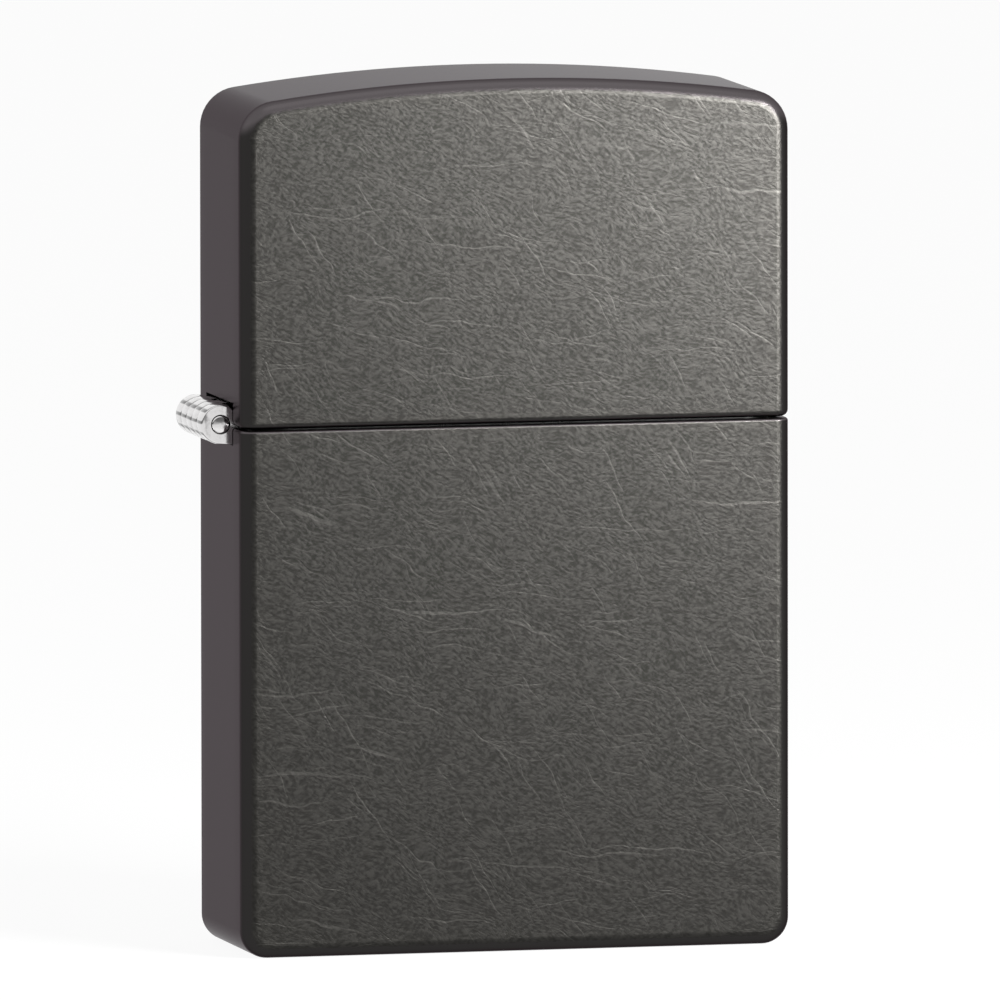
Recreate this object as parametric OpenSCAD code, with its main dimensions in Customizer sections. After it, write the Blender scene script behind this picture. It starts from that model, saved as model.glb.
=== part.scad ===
// Flip-top petrol pocket lighter: a two-part brass shell on a five-barrel hinge round a removable
// burner insert with windscreen, wick, spark wheel and sprung flint.
// Millimetres. The origin is the centre of the flat base. +Z is up, the hinge is on the -X side,
// and the broad faces look along -Y and +Y.

/* [Outer shell] */
// Width of the shell, without the hinge barrel
case_w = 36.8; // [30:0.1:46]
// Depth of the shell, front face to back face
case_d = 12.7; // [10.5:0.1:16]
// Height of the closed shell at the middle of its arched top
case_h = 57.15; // [46:0.05:70]
// Height of the lid at the middle of its arched top
lid_h = 22.55; // [18.5:0.05:28]
// Thickness of the drawn brass sheet
wall = 0.7; // [0.5:0.05:0.9]
// Rounding of every long edge of the shell
edge_r = 1.0; // [0.95:0.05:1.3]
// Corner radius at the bottom of the broad faces
base_corner_r = 3.0; // [2:0.1:4]
// Corner radius at the top of the broad faces
top_corner_r = 2.6; // [1.8:0.1:3.4]
// Radius of the arched top
arch_r = 115; // [80:1:200]
// Opening between the rim of the body and the edge of the lid
seam_gap = 0.1; // [0.05:0.05:0.25]
// Depth of the shallow pan pressed into the base
base_pan = 0.3; // [0.1:0.05:0.5]
// Width of the flat rim that the base stands on
base_rim = 1.6; // [1:0.1:2.5]

/* [Hinge] */
// Outer radius of the rolled barrel
barrel_r = 1.3; // [1.1:0.05:1.6]
// Length of the barrel
barrel_l = 7.4; // [6:0.1:8.4]
// Number of knuckles, an odd number
knuckles = 5; // [3:2:7]
// Distance of the hinge axis outside the shell's side
axis_out = 0.8; // [0.6:0.05:1]
// Height of the hinge axis above the seam
axis_up = 0.2; // [0.1:0.05:0.4]
// Radius of the hinge pin
pin_r = 0.6; // [0.45:0.05:0.8]
// Thickness of the hinge leaves
leaf_t = 0.45; // [0.3:0.05:0.6]
// Length of the lower leaf below its neck
lower_leaf_l = 6.0; // [4:0.5:9]
// Length of the upper leaf above its neck
upper_leaf_l = 8.4; // [7:0.1:10]

/* [Insert] */
// Thickness of the insert's sheet steel
tank_t = 0.4; // [0.3:0.05:0.6]
// Clearance between the insert and the shell or the lower leaf
insert_gap = 0.15; // [0.1:0.05:0.25]
// Height of the insert's deck above the seam
deck_rise = 2.9; // [2.2:0.1:3.6]
// Corner radius of the insert seen from above
tank_corner_r = 2.0; // [1.2:0.1:3]
// Rounding of the insert's shoulder
shoulder_r = 0.8; // [0.5:0.1:1.2]
// Length of the deck kept for the cam, from the hinge end
cam_bay = 9.1; // [8.8:0.1:11]
// Length of the deck kept for the spark wheel
wheel_bay = 12.3; // [10.5:0.1:15]

/* [Windscreen] */
// Step from the insert's side to the windscreen's side
screen_step = 1.2; // [0.8:0.1:1.4]
// Thickness of the windscreen's sheet
screen_t = 0.5; // [0.4:0.05:0.6]
// Corner radius of the windscreen seen from above
screen_corner_r = 1.8; // [1.2:0.1:2.2]
// Space between the windscreen and the lid's roof
head_gap = 2.9; // [2:0.1:4]
// Radius of an air hole
air_hole_r = 0.9; // [0.6:0.05:1.1]
// Spacing of the air holes, across and up
air_pitch = 3.2; // [2.8:0.1:4]

/* [Spark wheel] */
// Radius over the teeth
wheel_r = 4.3; // [3.6:0.1:5.2]
// Number of teeth
wheel_teeth = 40; // [24:1:60]
// Depth of a tooth
tooth_h = 0.3; // [0.2:0.05:0.4]
// Height of the axle above the deck
axle_h = 6.6; // [6.2:0.1:8]
// Distance of the axle from the windscreen
axle_out = 4.0; // [3.6:0.1:5.2]
// Radius of the axle rivet
axle_r = 1.0; // [0.8:0.05:1.2]

/* [Cam] */
// Radius of the cam round its pivot
cam_r = 1.75; // [1.5:0.05:2]
// Width of the cam
cam_w = 3.2; // [2.6:0.1:3.6]
// Height of the cam's pivot above the deck
cam_h = 2.6; // [2.5:0.05:3.2]
// Radius of the cam's nose
nose_r = 0.8; // [0.6:0.05:1]
// Direction of the nose with the lid shut, in degrees from +X towards +Z
nose_angle = 150; // [145:1:155]
// Radius of the cam's rivet
cam_rivet_r = 0.75; // [0.6:0.05:0.9]
// Thickness of the cam's leaf spring
cam_spring_t = 0.3; // [0.2:0.05:0.4]

/* [Flint and wick] */
// Radius of the flint
flint_r = 1.25; // [1.1:0.05:1.4]
// Length of a fresh flint
flint_l = 6.0; // [4:0.5:8]
// Thickness of the flint tube's wall
tube_t = 0.5; // [0.35:0.05:0.6]
// Radius of the flint spring's wire
spring_wire_r = 0.2; // [0.15:0.05:0.25]
// Number of turns in the flint spring
spring_turns = 20; // [12:1:28]
// Height of the flint screw's head
screw_head_h = 1.5; // [1.2:0.1:2]
// Radius of the wick
wick_r = 1.5; // [1.2:0.1:1.8]
// Height of the wick above the deck
wick_rise = 10; // [7:0.5:11]
// Thickness of the felt pad
felt_t = 3.0; // [2:0.1:4]

/* [Hidden] */
$fn = 64;

run_fit = 0.05;  // radial clearance of a turning fit
touch = 0.06;    // clearance between pieces that rub
slack = 0.1;     // clearance round a soft piece or a cut-out
over = 1;        // how far a cutter runs past a face
corner_lift = 0.01; // how far the lid's rounded corners start above its arch
function to_grid(v) = round(v * 1000) / 1000;

// Shell
seam_z = case_h - lid_h;
rim_z = seam_z - seam_gap / 2;
lid_z = seam_z + seam_gap / 2;
floor_z = base_pan + wall;
inner_w = case_w - 2 * wall;
inner_d = case_d - 2 * wall;
inner_edge_r = edge_r - wall;

// Hinge
axis_x = -case_w / 2 - axis_out;
axis_z = seam_z + axis_up;
knuckle_pitch = barrel_l / knuckles;
leaf_x = -inner_w / 2;
leaf_in = leaf_x + leaf_t;
notch_d = barrel_l + 2 * slack;
notch_reach = barrel_r + slack;

// Insert
tank_x0 = leaf_in + insert_gap - 0.03;
tank_x1 = inner_w / 2 - insert_gap - 0.05;
tank_w = tank_x1 - tank_x0;
tank_d = inner_d - 2 * insert_gap;
tank_corner_gap = inner_w / 2 - tank_x1;
inner_corner_r = base_corner_r - wall;
tank_z = floor_z + touch + inner_corner_r
    - sqrt(pow(inner_corner_r, 2) - pow(inner_corner_r - tank_corner_gap, 2));
deck_z = seam_z + deck_rise;
deck_under = deck_z - tank_t;

// Windscreen
screen_x0 = tank_x0 + cam_bay;
screen_x1 = tank_x1 - wheel_bay;
screen_w = screen_x1 - screen_x0;
screen_d = tank_d - 2 * screen_step;
screen_z = case_h - wall - head_gap;
screen_in_d = screen_d - 2 * screen_t;
air_columns = floor((screen_w - 2 * air_pitch) / air_pitch) + 1;

// Spark wheel
axle_x = screen_x1 + axle_out;
axle_z = deck_z + axle_h;
wheel_w = screen_in_d - 1.0;
hub_r = axle_r + 0.9;
rivet_head_t = 0.6;
arm_r = axle_r + 1.6;
arm_sweep_r = 3.6;

// Cam
cam_x = tank_x0 + 5.13;
cam_z = deck_z + cam_h;
nose_reach = (cam_x - nose_r - touch - leaf_in) / -cos(nose_angle);
ear_t = 0.5;
ear_gap = cam_w / 2 + 0.15;
ear_r = cam_rivet_r + 1.1;
cam_spring_w = cam_w - 0.4;
cam_spring_z = cam_z - cam_r - touch;
cam_spring_foot_x = tank_x0 + 1.9;
cam_spring_rivet_r = 0.45;

// Flint, spring and screw
tube_in_r = flint_r + slack;
tube_r = tube_in_r + tube_t;
tube_top = axle_z - wheel_r - 0.7;
felt_z = tank_z + 0.7;
screw_head_z = tank_z + 0.2;
tube_z = screw_head_z + screw_head_h;
flint_top = axle_z - wheel_r - touch;
flint_z = flint_top - flint_l;
follower_head_l = 1.2;
follower_shank_l = 1.6;
follower_z = flint_z - follower_head_l;
screw_thread_l = 4.5;
screw_nipple_l = 2.5;
screw_nipple_r = 0.6;
spring_z0 = tube_z + screw_thread_l;
spring_z1 = follower_z;
spring_mean_r = flint_r - spring_wire_r;

// Wick and packing: four pads are stacked in the insert, and the wick runs down through three
pad_count = 4;
wick_x = (screen_x0 + screen_x1) / 2;
wick_top = deck_z + wick_rise;
pack_z0 = felt_z + felt_t + slack;
pack_z1 = deck_under - slack;
pad_pitch = (pack_z1 - pack_z0) / pad_count;
wick_foot = pack_z0 + pad_pitch + slack;

// ---- outlines and blocks -------------------------------------------------------------------

// Rounded rectangle, centred
module rounded_outline(w, d, r) {
    square([w - 2 * r, d], center = true);
    square([w, d - 2 * r], center = true);
    for (x = [-1, 1], y = [-1, 1])
        translate([x * (w / 2 - r), y * (d / 2 - r)]) circle(r);
}

// Strip of width d from x = 0 to x = reach, with its two far corners rounded
module edge_section(reach, d, r) {
    translate([0, -d / 2]) square([reach - r, d]);
    translate([0, r - d / 2]) square([reach, d - 2 * r]);
    for (y = [-1, 1])
        translate([reach - r, y * (d / 2 - r)]) circle(r);
}

// Turns an outline about the Y axis from angle a to angle b, measured from +X towards +Z
module turn_about_y(a, b) {
    rotate([90, 0, 0]) rotate([0, 0, a]) rotate_extrude(angle = b - a) children();
}

// Cylinder along Y, centred on y = 0
module rod_y(x, z, r, l) {
    translate([x, 0, z]) rotate([90, 0, 0]) cylinder(r = r, h = l, center = true);
}

// Block along X with an outline given in Y and Z
module run_x(x0, x1) {
    translate([x0, 0, 0]) rotate([90, 0, 90]) linear_extrude(x1 - x0) children();
}

// Plate whose outline lies in X and Z, from y = y0 to y = y0 + t
module plate_y(y0, t) {
    translate([0, y0 + t, 0]) rotate([90, 0, 0]) linear_extrude(t) children();
}

// Solid with rounded lower corners and long edges, from z = 0 up to h
module tub(w, d, h, corner_r, r) {
    translate([0, 0, corner_r]) linear_extrude(h - corner_r) rounded_outline(w, d, r);
    translate([0, 0, corner_r])
        rotate([0, 90, 0]) linear_extrude(w - 2 * corner_r, center = true) edge_section(corner_r, d, r);
    for (side = [0, 1])
        mirror([side, 0, 0])
            translate([w / 2 - corner_r, 0, corner_r]) turn_about_y(-90, 0) edge_section(corner_r, d, r);
}

// Solid with an arched top at height top and rounded long edges, from z0 up. A disc with a
// rounded rim forms the arch, and quarter-turned corners meet it just above their own tops.
module dome(w, d, z0, top, corner_r, r, big_r) {
    corner_x = w / 2 - corner_r;
    corner_z = to_grid(top - big_r + sqrt(pow(big_r, 2) - pow(corner_x, 2)) - corner_r + corner_lift);
    intersection() {
        translate([0, 0, top - big_r]) rotate([90, 0, 0]) rotate_extrude() edge_section(big_r, d, r);
        union() {
            translate([0, 0, z0]) linear_extrude(corner_z - z0) rounded_outline(w, d, r);
            translate([-corner_x, -d / 2, corner_z]) cube([2 * corner_x, d, top + over - corner_z]);
            for (side = [0, 1])
                mirror([side, 0, 0])
                    translate([corner_x, 0, corner_z]) turn_about_y(0, 90) edge_section(corner_r, d, r);
        }
    }
}

// Block from (x0, z0) to (x1, z1) with rounded upright corners and a rounded top edge
module shouldered_block(x0, x1, d, z0, z1, plan_r, top_r) {
    mid_x = (x0 + x1) / 2;
    w = x1 - x0;
    h = z1 - z0;
    translate([mid_x, 0, z0]) {
        rotate([0, -90, 0]) linear_extrude(w - 2 * plan_r, center = true) edge_section(h, d, top_r);
        for (side = [0, 1])
            mirror([side, 0, 0]) {
                translate([w / 2 - plan_r, 0, 0]) rotate([90, 0, 0])
                    linear_extrude(d - 2 * plan_r, center = true) shoulder_section(plan_r, h, top_r);
                for (y = [0, 1])
                    mirror([0, y, 0])
                        translate([w / 2 - plan_r, d / 2 - plan_r, 0])
                            rotate_extrude(angle = 90) shoulder_section(plan_r, h, top_r);
            }
    }
}

// Rectangle from the origin with its outer top corner rounded
module shoulder_section(w, h, r) {
    square([w - r, h]);
    square([w, h - r]);
    translate([w - r, h - r]) circle(r);
}

// ---- shell ---------------------------------------------------------------------------------

// Opening for the barrel in the hinge side, from z0 to z1
module barrel_notch(z0, z1) {
    translate([-case_w / 2 - over, -notch_d / 2, z0])
        cube([wall + 2 * over - 0.2, notch_d, z1 - z0]);
}

module body_shell() {
    color("dimgray") difference() {
        tub(case_w, case_d, rim_z, base_corner_r, edge_r);
        translate([0, 0, floor_z])
            tub(inner_w, inner_d, rim_z, base_corner_r - wall, inner_edge_r);
        translate([0, 0, -over]) linear_extrude(over + base_pan)
            rounded_outline(case_w - 2 * (base_corner_r + base_rim), case_d - 2 * (edge_r + base_rim), edge_r);
        barrel_notch(axis_z - notch_reach, rim_z + over);
    }
}

module lid_shell() {
    color("dimgray") difference() {
        dome(case_w, case_d, lid_z, case_h, top_corner_r, edge_r, arch_r);
        dome(inner_w, inner_d, lid_z - over, case_h - wall, top_corner_r - wall, inner_edge_r, arch_r - wall);
        barrel_notch(lid_z - over, axis_z + notch_reach);
    }
}

// ---- hinge ---------------------------------------------------------------------------------

// Knuckles of one leaf, with the necks that tie them to the leaf on the side given by up
module knuckle_row(first, up) {
    for (i = [first:2:knuckles - 1]) {
        y = (i - (knuckles - 1) / 2) * knuckle_pitch;
        l = knuckle_pitch - touch;
        translate([0, y, 0]) difference() {
            union() {
                rod_y(axis_x, axis_z, barrel_r, l);
                translate([axis_x, -l / 2, up ? axis_z + barrel_r - leaf_t : axis_z - barrel_r])
                    cube([leaf_in - axis_x, l, leaf_t]);
            }
            rod_y(axis_x, axis_z, pin_r + run_fit, l + over);
        }
    }
}

module lower_hinge_leaf() {
    neck_z = axis_z - barrel_r;
    color("silver") union() {
        knuckle_row(0, false);
        translate([leaf_x, -barrel_l / 2, neck_z + leaf_t - lower_leaf_l])
            cube([leaf_t, barrel_l, lower_leaf_l]);
    }
}

module upper_hinge_leaf() {
    color("silver") union() {
        knuckle_row(1, true);
        translate([leaf_x, -barrel_l / 2, axis_z + barrel_r - leaf_t])
            cube([leaf_t, barrel_l, upper_leaf_l]);
    }
}

module hinge_pin() {
    color("gainsboro") rod_y(axis_x, axis_z, pin_r, barrel_l);
}

// ---- insert --------------------------------------------------------------------------------

module insert_tank() {
    color("lightgray") difference() {
        shouldered_block(tank_x0, tank_x1, tank_d, tank_z, deck_z, tank_corner_r, shoulder_r);
        shouldered_block(tank_x0 + tank_t, tank_x1 - tank_t, tank_d - 2 * tank_t, tank_z - over,
            deck_under, tank_corner_r - tank_t, shoulder_r - tank_t);
        translate([wick_x, 0, deck_under - over]) cylinder(r = wick_r + slack, h = tank_t + 2 * over);
        translate([axle_x, 0, deck_under - over]) cylinder(r = tube_r, h = tank_t + 2 * over);
        translate([cam_spring_foot_x, 0, deck_under - over])
            cylinder(r = cam_spring_rivet_r, h = tank_t + 2 * over);
    }
}

// Side of the windscreen seen from the front, with the arm that carries the axle
module screen_side_outline() {
    translate([screen_x0 + screen_corner_r, deck_z])
        square([screen_w - screen_corner_r, screen_z - deck_z]);
    translate([axle_x, axle_z]) circle(arm_r);
    difference() {
        translate([screen_x1 - over, deck_z]) square([axle_out + over, axle_h + arm_r + arm_sweep_r]);
        translate([screen_x1 + arm_sweep_r, axle_z + arm_r + arm_sweep_r]) circle(arm_sweep_r);
        translate([screen_x1 + arm_sweep_r, axle_z + arm_r]) square([axle_out, 2 * arm_sweep_r]);
    }
    translate([axle_x - over / 2, deck_z]) square([arm_r * 0.6 + over / 2, axle_h]);
}

// Wall of the windscreen's tube, open where the wheel turns
module screen_tube() {
    difference() {
        translate([(screen_x0 + screen_x1) / 2, 0, deck_z]) linear_extrude(screen_z - deck_z)
            rounded_outline(screen_w, screen_d, screen_corner_r);
        translate([(screen_x0 + screen_x1) / 2, 0, deck_z - over])
            linear_extrude(screen_z - deck_z + 2 * over)
                rounded_outline(screen_w - 2 * screen_t, screen_in_d, screen_corner_r - screen_t);
        // the end of the tube that faces the wheel
        translate([screen_x1 - screen_corner_r, -screen_d / 2 - over, deck_z - over])
            cube([screen_corner_r + over, screen_d + 2 * over, screen_z - deck_z + 2 * over]);
    }
}

// Air holes through both sides, every second column shifted by half a pitch
module air_holes() {
    mid_z = (deck_z + screen_z) / 2 + 0.6;
    for (c = [0:air_columns - 1]) {
        rows = c % 2 == 0 ? 3 : 2;
        x = wick_x + (c - (air_columns - 1) / 2) * air_pitch;
        for (k = [0:rows - 1])
            rod_y(x, mid_z + (k - (rows - 1) / 2) * air_pitch, air_hole_r, screen_d + 2 * over);
    }
}

// Ear that carries the cam's rivet, seen from the front
module ear_outline() {
    translate([cam_x, cam_z]) circle(ear_r);
    translate([cam_x - ear_r, deck_z]) square([2 * ear_r, cam_h]);
    translate([cam_x, deck_z]) square([screen_x0 - cam_x + screen_t, cam_h + ear_r]);
}

module windscreen() {
    color("lightgray") difference() {
        union() {
            screen_tube();
            for (side = [0, 1])
                mirror([0, side, 0]) {
                    plate_y(screen_in_d / 2, screen_t) screen_side_outline();
                    plate_y(ear_gap, ear_t) ear_outline();
                }
        }
        air_holes();
        rod_y(axle_x, axle_z, axle_r, screen_d + 2 * over);
        rod_y(cam_x, cam_z, cam_rivet_r, screen_d + 2 * over);
    }
}

// ---- cam -----------------------------------------------------------------------------------

// The cam seen from the front, round its pivot: a hub, and an arm that tapers to a round nose
module cam_outline() {
    tip = [nose_reach * cos(nose_angle), nose_reach * sin(nose_angle)];
    lean = acos((cam_r - nose_r) / nose_reach);
    function rim(centre, r, a) = centre + r * [cos(a), sin(a)];
    circle(cam_r);
    translate(tip) circle(nose_r);
    polygon([
        rim([0, 0], cam_r, nose_angle - lean), rim(tip, nose_r, nose_angle - lean),
        rim(tip, nose_r, nose_angle + lean), rim([0, 0], cam_r, nose_angle + lean)
    ]);
}

module cam() {
    color("darkgray") difference() {
        translate([cam_x, 0, cam_z]) plate_y(-cam_w / 2, cam_w) cam_outline();
        rod_y(cam_x, cam_z, cam_rivet_r + run_fit, cam_w + over);
    }
}

// Rivet along Y with a flat head at each end of its grip
module rivet_y(x, z, r, grip, head_r, head_t) {
    rod_y(x, z, r, grip);
    for (side = [-1, 1])
        translate([0, side * (grip + head_t) / 2, 0]) rod_y(x, z, head_r, head_t);
}

module cam_rivet() {
    color("silver") rivet_y(cam_x, cam_z, cam_rivet_r, 2 * (ear_gap + ear_t), cam_rivet_r + 0.5, 0.45);
}

module cam_spring() {
    half = cam_spring_w / 2;
    foot_end = cam_spring_foot_x + 1.1;
    ramp_end = foot_end + 1.0;
    color("slategray") difference() {
        plate_y(-half, cam_spring_w) polygon([
            [cam_spring_foot_x - 1.1, deck_z], [foot_end, deck_z],
            [ramp_end, cam_spring_z - cam_spring_t], [cam_x + cam_r, cam_spring_z - cam_spring_t],
            [cam_x + cam_r, cam_spring_z], [ramp_end, cam_spring_z],
            [foot_end, deck_z + cam_spring_t], [cam_spring_foot_x - 1.1, deck_z + cam_spring_t]
        ]);
        translate([cam_spring_foot_x, 0, deck_z - over])
            cylinder(r = cam_spring_rivet_r, h = cam_spring_t + 2 * over);
    }
}

module cam_spring_rivet() {
    head_t = 0.25;
    head_r = 0.8;
    color("silver") translate([cam_spring_foot_x, 0, 0]) union() {
        translate([0, 0, deck_under]) cylinder(r = cam_spring_rivet_r, h = tank_t + cam_spring_t);
        translate([0, 0, deck_z + cam_spring_t]) cylinder(r = head_r, h = head_t);
    }
}

// ---- spark wheel ---------------------------------------------------------------------------

module spark_wheel() {
    teeth = [
        for (i = [0:2 * wheel_teeth - 1])
            let (a = i * 180 / wheel_teeth, r = i % 2 == 0 ? wheel_r : wheel_r - tooth_h)
                [r * cos(a), r * sin(a)]
    ];
    color("dimgray") translate([axle_x, 0, axle_z]) difference() {
        union() {
            plate_y(-wheel_w / 2, wheel_w) polygon(teeth);
            rod_y(0, 0, hub_r, screen_in_d - 2 * touch);
        }
        rod_y(0, 0, axle_r + run_fit, screen_in_d + over);
    }
}

module wheel_rivet() {
    color("silver") rivet_y(axle_x, axle_z, axle_r, screen_d, axle_r + 0.9, rivet_head_t);
}

// ---- flint feed ----------------------------------------------------------------------------

module flint_tube() {
    color("goldenrod") translate([axle_x, 0, tube_z]) difference() {
        cylinder(r = tube_r, h = tube_top - tube_z);
        translate([0, 0, -over]) cylinder(r = tube_in_r, h = tube_top - tube_z + 2 * over);
    }
}

module flint() {
    color("gray") translate([axle_x, 0, flint_z]) cylinder(r = flint_r, h = flint_l);
}

module flint_follower() {
    color("gold") translate([axle_x, 0, follower_z]) union() {
        cylinder(r = flint_r, h = follower_head_l);
        translate([0, 0, -follower_shank_l])
            cylinder(r = spring_mean_r - spring_wire_r - touch, h = follower_shank_l);
    }
}

module flint_spring() {
    sides = 6;
    steps = 14;
    n = spring_turns * steps;
    rise = spring_z1 - spring_z0 - 2 * (spring_wire_r + touch);
    low = spring_z0 + spring_wire_r + touch;
    function centre(i) = [
        axle_x + spring_mean_r * cos(360 * i / steps),
        spring_mean_r * sin(360 * i / steps),
        low + rise * i / n
    ];
    function ring_point(i, k) = let (a = 360 * i / steps, b = 360 * k / sides) centre(i)
        + spring_wire_r * [cos(a) * cos(b), sin(a) * cos(b), sin(b)];
    color("silver") polyhedron(
        points = [for (i = [0:n], k = [0:sides - 1]) ring_point(i, k)],
        faces = concat(
            [[for (k = [0:sides - 1]) k]],
            [
                for (i = [0:n - 1], k = [0:sides - 1])
                    let (a = i * sides + k, b = i * sides + (k + 1) % sides)
                        [a, a + sides, b + sides, b]
            ],
            [[for (k = [sides - 1:-1:0]) n * sides + k]]
        )
    );
}

module flint_screw() {
    slot_w = 0.8;
    slot_h = 0.7;
    head_r = tube_r + 0.5;
    color("goldenrod") translate([axle_x, 0, screw_head_z]) difference() {
        union() {
            cylinder(r = head_r, h = screw_head_h);
            cylinder(r = tube_in_r - run_fit, h = screw_head_h + screw_thread_l);
            cylinder(r = screw_nipple_r, h = screw_head_h + screw_thread_l + screw_nipple_l);
        }
        translate([-head_r - over, -slot_w / 2, -over]) cube([2 * (head_r + over), slot_w, slot_h + over]);
    }
}

// ---- wick, packing and felt ----------------------------------------------------------------

module wick() {
    color("ivory") translate([wick_x, 0, wick_foot]) cylinder(r = wick_r, h = wick_top - wick_foot);
}

// Pad number i of the packing, counted from the top, pierced for the flint tube and the wick
module cotton_pad(i) {
    z0 = pack_z0 + (pad_count - i) * pad_pitch;
    color("white") difference() {
        translate([(tank_x0 + tank_x1) / 2, 0, z0])
            linear_extrude(pad_pitch - slack)
                rounded_outline(tank_w - 2 * (tank_t + slack), tank_d - 2 * (tank_t + slack),
                    tank_corner_r - tank_t - slack);
        translate([axle_x, 0, z0 - over]) cylinder(r = tube_r + slack, h = pad_pitch + 2 * over);
        if (i < pad_count)
            translate([wick_x, 0, z0 - over]) cylinder(r = wick_r + slack, h = pad_pitch + 2 * over);
    }
}

module felt_pad() {
    color("whitesmoke") difference() {
        translate([(tank_x0 + tank_x1) / 2, 0, felt_z]) linear_extrude(felt_t)
            rounded_outline(tank_w - 2 * tank_t - slack, tank_d - 2 * tank_t - slack, tank_corner_r - tank_t);
        translate([axle_x, 0, felt_z - over]) cylinder(r = tube_r + 0.5 + slack, h = felt_t + 2 * over);
    }
}

body_shell();
lid_shell();
lower_hinge_leaf();
upper_hinge_leaf();
hinge_pin();
insert_tank();
windscreen();
cam();
cam_rivet();
cam_spring();
cam_spring_rivet();
spark_wheel();
wheel_rivet();
flint_tube();
flint();
flint_follower();
flint_spring();
flint_screw();
wick();
cotton_pad(1);  // cotton_pad_1
cotton_pad(2);  // cotton_pad_2
cotton_pad(3);  // cotton_pad_3
cotton_pad(4);  // cotton_pad_4
felt_pad();
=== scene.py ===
import math

import bmesh
import bpy
from bpy.props import FloatProperty, FloatVectorProperty, IntProperty, PointerProperty
from mathutils import Matrix, Vector, noise


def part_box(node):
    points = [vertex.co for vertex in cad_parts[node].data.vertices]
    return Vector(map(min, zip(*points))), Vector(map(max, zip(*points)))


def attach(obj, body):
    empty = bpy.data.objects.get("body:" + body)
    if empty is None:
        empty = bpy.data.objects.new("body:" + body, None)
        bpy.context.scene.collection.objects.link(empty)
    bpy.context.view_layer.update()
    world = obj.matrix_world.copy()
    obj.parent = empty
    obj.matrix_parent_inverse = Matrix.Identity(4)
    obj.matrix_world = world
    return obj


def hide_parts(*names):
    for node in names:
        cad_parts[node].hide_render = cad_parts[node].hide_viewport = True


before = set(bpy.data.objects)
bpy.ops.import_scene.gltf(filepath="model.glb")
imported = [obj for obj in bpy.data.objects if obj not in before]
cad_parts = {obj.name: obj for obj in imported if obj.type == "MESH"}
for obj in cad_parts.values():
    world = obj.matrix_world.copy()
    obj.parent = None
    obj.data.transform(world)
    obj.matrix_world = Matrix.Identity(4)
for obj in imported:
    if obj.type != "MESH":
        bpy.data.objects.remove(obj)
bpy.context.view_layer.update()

bl_info = {
    "name": "Flip-top Lighter",
    "version": (1, 0, 0),
    "blender": (4, 5, 0),
    "location": "View3D > Sidebar > Lighter",
    "description": "Builds the shells, hinge, burner and finishes of a flip-top petrol lighter",
    "category": "Add Mesh",
}

MM = 0.001
MERGE = 1e-7

BODY_LO, BODY_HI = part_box("body_shell")
LID_LO, LID_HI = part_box("lid_shell")
PIN_LO, PIN_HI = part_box("hinge_pin")
LEAF_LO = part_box("lower_hinge_leaf")[0]
WHEEL_LO, WHEEL_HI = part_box("spark_wheel")
RIVET_LO, RIVET_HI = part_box("wheel_rivet")
CAM_RIVET_LO, CAM_RIVET_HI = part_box("cam_rivet")
WICK_LO, WICK_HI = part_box("wick")

HINGE = (PIN_LO + PIN_HI) / 2
AXLE = (WHEEL_LO + WHEEL_HI) / 2
BARREL_R = HINGE.x - LEAF_LO.x
BARREL_L = PIN_HI.y - PIN_LO.y


def length(name, text, default):
    return FloatProperty(
        name=name, description=text, default=default, min=0, subtype="DISTANCE", unit="LENGTH"
    )


def colour(name, text, default):
    return FloatVectorProperty(
        name=name, description=text, default=default, size=3, min=0, max=1, subtype="COLOR"
    )


# ---- sizes and colours ----------------------------------------------------------------------

class LighterSizes(bpy.types.PropertyGroup):
    sheet: length("Sheet", "Thickness of the drawn brass shells", 0.7 * MM)
    edge_r: length("Edge radius", "Rounding of the long edges", 1.0 * MM)
    base_corner_r: length("Base corner radius", "Corners at the bottom of the broad faces", 1.8 * MM)
    top_corner_r: length("Top corner radius", "Corners at the top of the broad faces", 2.6 * MM)
    arch_r: length("Arch radius", "Radius of the lid's arched top", 115 * MM)
    lid_lip_r: length("Lid lip", "Rounding of the lid's lower edge", 0.42 * MM)
    body_lip_r: length("Body lip", "Rounding of the body's rim", 0.2 * MM)
    pan_depth: length("Base pan", "Depth of the pan pressed into the base", 0.3 * MM)
    pan_rim: length("Base rim", "Width of the flat rim that the base stands on", 1.6 * MM)
    notch_gap: length("Notch gap", "Space round the hinge barrel in the side walls", 0.1 * MM)
    pin_r: length("Pin radius", "Radius of the hinge pin", 0.6 * MM)
    knuckle_round: length("Knuckle rounding", "Rounding of each knuckle's ends", 0.16 * MM)
    tooth_h: length("Tooth height", "Depth of the spark wheel's cross-cut teeth", 0.3 * MM)
    teeth: IntProperty(name="Teeth", description="Teeth round the spark wheel", default=40, min=12, max=80)


class LighterColours(bpy.types.PropertyGroup):
    face: colour("Broad faces", "Plating on the grained faces", (0.0235, 0.0227, 0.0210))
    side: colour("Sides", "Plating on the smooth narrow sides", (0.075, 0.067, 0.070))
    # The edge colour is a painted reflection: the rounded edges share the plating and are painted dark
    # where they would mirror dark surroundings.
    edge: colour("Edges", "Plating on the rounded edges", (0.027, 0.0255, 0.025))
    chrome: colour("Hinge", "Polished hinge steel", (0.72, 0.71, 0.71))
    steel: colour("Insert", "Drawn sheet steel", (0.60, 0.60, 0.59))
    dark_steel: colour("Wheel", "Hardened wheel steel", (0.16, 0.16, 0.165))
    brass: colour("Brass", "Turned brass", (0.70, 0.50, 0.22))
    flint: colour("Flint", "Flint alloy", (0.23, 0.22, 0.21))
    cotton: colour("Cotton", "Wick and packing", (0.80, 0.77, 0.68))
    felt: colour("Felt", "Felt pad", (0.66, 0.63, 0.56))


# ---- node helpers ---------------------------------------------------------------------------

def with_alpha(value):
    """A colour of three numbers with its alpha added; anything else as it is."""
    if isinstance(value, bpy.types.NodeSocket) or not hasattr(value, "__len__"):
        return value
    return (*tuple(value)[:3], 1)


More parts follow.
